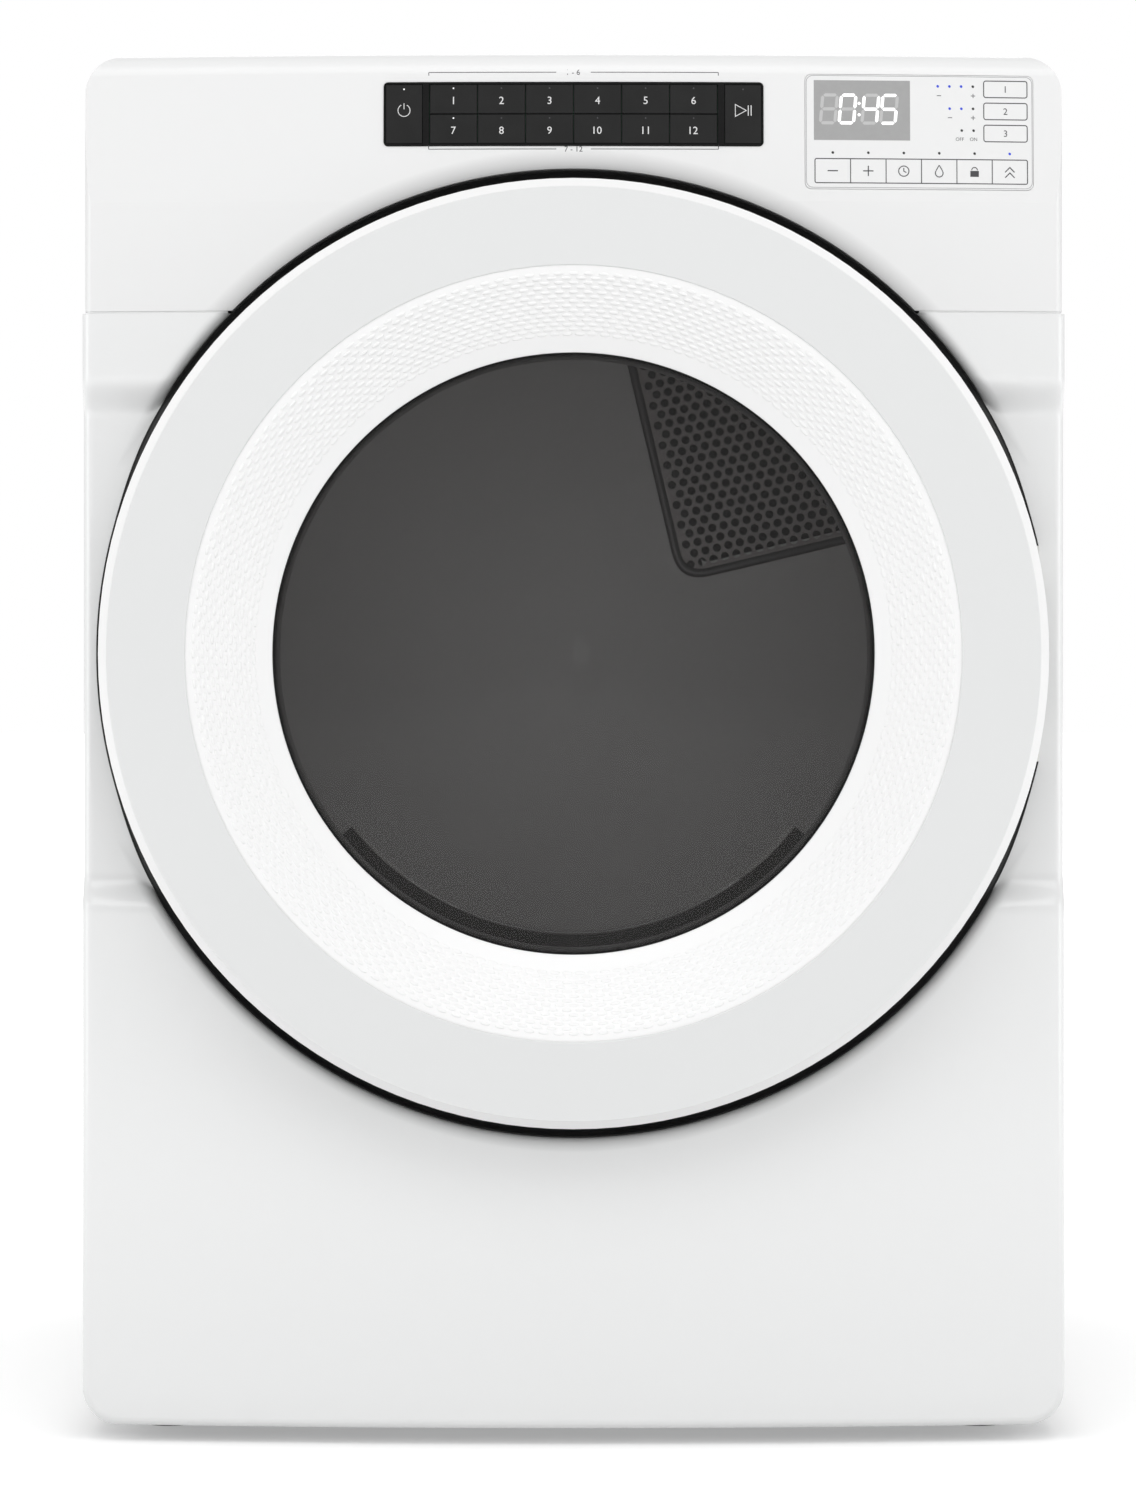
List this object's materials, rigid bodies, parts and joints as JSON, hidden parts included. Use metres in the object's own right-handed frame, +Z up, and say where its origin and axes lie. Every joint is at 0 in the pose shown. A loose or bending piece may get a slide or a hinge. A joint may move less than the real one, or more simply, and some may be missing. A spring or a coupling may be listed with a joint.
{
  "type": "clothes dryer",
  "caption": "Free-standing front-load clothes dryer: white cabinet, bowed front, round see-through door, dark key strip and display on the console.",
  "frame": {"origin": "on the floor, under the middle of the machine", "axes": "+X to the user's right, +Y from the front to the back, +Z up"},
  "size_m": [0.686, 0.787, 0.968],
  "materials": {
    "painted_white": "gloss white enamel",
    "console_white": "satin gloss white",
    "door_white": "satin gloss white",
    "liner_white": "gloss white enamel",
    "galvanised": "zinc coated sheet",
    "bulkhead_paint": "grey enamel",
    "drum_paint": "grey powder coat",
    "grille_steel": "grey enamel",
    "smoked_glass": "dark smoked",
    "clear_window": "clear",
    "key_black": "gloss black",
    "key_grey": "satin dark grey",
    "overlay_film": "printed film",
    "board_green": "circuit board",
    "grey_plastic": "moulded grey",
    "screen_mesh": "fine nylon mesh",
    "felt": "pressed felt",
    "black_rubber": "matte",
    "black_plastic": "matte",
    "zinc_steel": "bright zinc",
    "motor_black": "black enamel"
  },
  "bodies": {
    "cabinet": {"base_pan": "galvanised", "left_side_panel": "painted_white", "right_side_panel": "painted_white", "rear_panel": "galvanised", "top_panel": "painted_white", "front_panel": "painted_white", "console_fascia": "console_white", "key_bezel": "key_black", "control_overlay": "overlay_film", "control_board": "board_green", "front_bulkhead": "bulkhead_paint", "lint_duct": "grey_plastic", "rear_bulkhead": "bulkhead_paint", "rear_air_grille": "grille_steel", "drum_seals": "felt", "motor_body": "motor_black", "blower_housing": "grey_plastic", "exhaust_duct": "galvanised", "drum_belt": "black_rubber", "heater_box": "galvanised", "terminal_cover": "galvanised", "hinge_bracket": "zinc_steel", "latch_catch": "grey_plastic"},
    "door": {"door_outer_ring": "door_white", "door_dish_ring": "door_white", "door_glass": "smoked_glass", "door_inner_panel": "liner_white", "door_inner_window": "clear_window", "door_seal": "black_rubber", "door_hinge_leaf": "zinc_steel", "door_strike": "zinc_steel", "door_screws": "zinc_steel"},
    "drum": {"drum_shell": "drum_paint", "drum_baffles": "grey_plastic"},
    "left_roller": {"left_drum_roller": "black_rubber"},
    "right_roller": {"right_drum_roller": "black_rubber"},
    "rotor": {"motor_rotor": "zinc_steel", "blower_wheel": "black_plastic"},
    "idler_arm": {"idler_arm": "zinc_steel"},
    "idler_pulley": {"idler_pulley": "black_plastic"},
    "lint_screen": {"lint_screen_frame": "grey_plastic", "lint_screen_mesh": "screen_mesh"},
    "key_power": {"key_power": "key_grey"},
    "key_start": {"key_start": "key_grey"},
    "key_cycle_1": {"key_cycle_1": "key_grey"},
    "key_cycle_2": {"key_cycle_2": "key_grey"},
    "key_cycle_3": {"key_cycle_3": "key_grey"},
    "key_cycle_4": {"key_cycle_4": "key_grey"},
    "key_cycle_5": {"key_cycle_5": "key_grey"},
    "key_cycle_6": {"key_cycle_6": "key_grey"},
    "key_cycle_7": {"key_cycle_7": "key_grey"},
    "key_cycle_8": {"key_cycle_8": "key_grey"},
    "key_cycle_9": {"key_cycle_9": "key_grey"},
    "key_cycle_10": {"key_cycle_10": "key_grey"},
    "key_cycle_11": {"key_cycle_11": "key_grey"},
    "key_cycle_12": {"key_cycle_12": "key_grey"},
    "foot_front_left": {"foot_front_left": "black_plastic"},
    "foot_front_right": {"foot_front_right": "black_plastic"},
    "foot_rear_left": {"foot_rear_left": "black_plastic"},
    "foot_rear_right": {"foot_rear_right": "black_plastic"}
  },
  "joints": [
    {"name": "door_hinge", "type": "hinge", "parent": "cabinet", "child": "door", "pos_m": [0.318, -0.3305, 0.55], "axis": [0, 0, 1], "range_deg": [0, 110]},
    {"name": "drum_spin", "type": "hinge", "parent": "cabinet", "child": "drum", "pos_m": [0, 0.0515, 0.55], "axis": [0, 1, 0], "continuous": true},
    {"name": "left_roller_spin", "type": "hinge", "parent": "cabinet", "child": "left_roller", "pos_m": [-0.2343, 0.3025, 0.27078], "axis": [0, 1, 0], "continuous": true},
    {"name": "right_roller_spin", "type": "hinge", "parent": "cabinet", "child": "right_roller", "pos_m": [0.2343, 0.3025, 0.27078], "axis": [0, 1, 0], "continuous": true},
    {"name": "motor_spin", "type": "hinge", "parent": "cabinet", "child": "rotor", "pos_m": [0.14, 0.0315, 0.109], "axis": [0, 1, 0], "continuous": true},
    {"name": "idler_swing", "type": "hinge", "parent": "cabinet", "child": "idler_arm", "pos_m": [0.17, 0.0315, 0.064], "axis": [0, -1, 0], "range_deg": [0, 10], "stiffness_Nm_per_rad": 6, "springref_deg": -28.65},
    {"name": "idler_spin", "type": "hinge", "parent": "idler_arm", "child": "idler_pulley", "pos_m": [0.1, 0.0315, 0.149], "axis": [0, 1, 0], "continuous": true},
    {"name": "lint_screen_lift", "type": "slide", "parent": "cabinet", "child": "lint_screen", "axis": [0, 0, 1], "range_m": [0, 0.19]},
    {"name": "key_power_press", "type": "slide", "parent": "cabinet", "child": "key_power", "axis": [0.04, 0.9968, -0.0698], "range_m": [0, 0.0008], "stiffness_N_per_m": 800, "springref_m": -0.001},
    {"name": "key_start_press", "type": "slide", "parent": "cabinet", "child": "key_start", "axis": [-0.04, 0.9968, -0.0698], "range_m": [0, 0.0008], "stiffness_N_per_m": 800, "springref_m": -0.001},
    {"name": "key_cycle_1_press", "type": "slide", "parent": "cabinet", "child": "key_cycle_1", "axis": [0.0283, 0.9972, -0.0698], "range_m": [0, 0.0008], "stiffness_N_per_m": 800, "springref_m": -0.001},
    {"name": "key_cycle_2_press", "type": "slide", "parent": "cabinet", "child": "key_cycle_2", "axis": [0.017, 0.9974, -0.0698], "range_m": [0, 0.0008], "stiffness_N_per_m": 800, "springref_m": -0.001},
    {"name": "key_cycle_3_press", "type": "slide", "parent": "cabinet", "child": "key_cycle_3", "axis": [0.0057, 0.9975, -0.0698], "range_m": [0, 0.0008], "stiffness_N_per_m": 800, "springref_m": -0.001},
    {"name": "key_cycle_4_press", "type": "slide", "parent": "cabinet", "child": "key_cycle_4", "axis": [-0.0057, 0.9975, -0.0698], "range_m": [0, 0.0008], "stiffness_N_per_m": 800, "springref_m": -0.001},
    {"name": "key_cycle_5_press", "type": "slide", "parent": "cabinet", "child": "key_cycle_5", "axis": [-0.017, 0.9974, -0.0698], "range_m": [0, 0.0008], "stiffness_N_per_m": 800, "springref_m": -0.001},
    {"name": "key_cycle_6_press", "type": "slide", "parent": "cabinet", "child": "key_cycle_6", "axis": [-0.0283, 0.9972, -0.0698], "range_m": [0, 0.0008], "stiffness_N_per_m": 800, "springref_m": -0.001},
    {"name": "key_cycle_7_press", "type": "slide", "parent": "cabinet", "child": "key_cycle_7", "axis": [0.0283, 0.9972, -0.0698], "range_m": [0, 0.0008], "stiffness_N_per_m": 800, "springref_m": -0.001},
    {"name": "key_cycle_8_press", "type": "slide", "parent": "cabinet", "child": "key_cycle_8", "axis": [0.017, 0.9974, -0.0698], "range_m": [0, 0.0008], "stiffness_N_per_m": 800, "springref_m": -0.001},
    {"name": "key_cycle_9_press", "type": "slide", "parent": "cabinet", "child": "key_cycle_9", "axis": [0.0057, 0.9975, -0.0698], "range_m": [0, 0.0008], "stiffness_N_per_m": 800, "springref_m": -0.001},
    {"name": "key_cycle_10_press", "type": "slide", "parent": "cabinet", "child": "key_cycle_10", "axis": [-0.0057, 0.9975, -0.0698], "range_m": [0, 0.0008], "stiffness_N_per_m": 800, "springref_m": -0.001},
    {"name": "key_cycle_11_press", "type": "slide", "parent": "cabinet", "child": "key_cycle_11", "axis": [-0.017, 0.9974, -0.0698], "range_m": [0, 0.0008], "stiffness_N_per_m": 800, "springref_m": -0.001},
    {"name": "key_cycle_12_press", "type": "slide", "parent": "cabinet", "child": "key_cycle_12", "axis": [-0.0283, 0.9972, -0.0698], "range_m": [0, 0.0008], "stiffness_N_per_m": 800, "springref_m": -0.001},
    {"name": "foot_front_left_screw", "type": "slide", "parent": "cabinet", "child": "foot_front_left", "axis": [0, 0, 1], "range_m": [-0.025, 0]},
    {"name": "foot_front_right_screw", "type": "slide", "parent": "cabinet", "child": "foot_front_right", "axis": [0, 0, 1], "range_m": [-0.025, 0]},
    {"name": "foot_rear_left_screw", "type": "slide", "parent": "cabinet", "child": "foot_rear_left", "axis": [0, 0, 1], "range_m": [-0.025, 0]},
    {"name": "foot_rear_right_screw", "type": "slide", "parent": "cabinet", "child": "foot_rear_right", "axis": [0, 0, 1], "range_m": [-0.025, 0]}
  ],
  "couplings": [
    {"joint": "left_roller_spin", "follows": "drum_spin", "ratio": -8.5842},
    {"joint": "right_roller_spin", "follows": "drum_spin", "ratio": -8.5842},
    {"joint": "motor_spin", "follows": "drum_spin", "ratio": 29.654},
    {"joint": "idler_spin", "follows": "drum_spin", "ratio": -14.827}
  ]
}
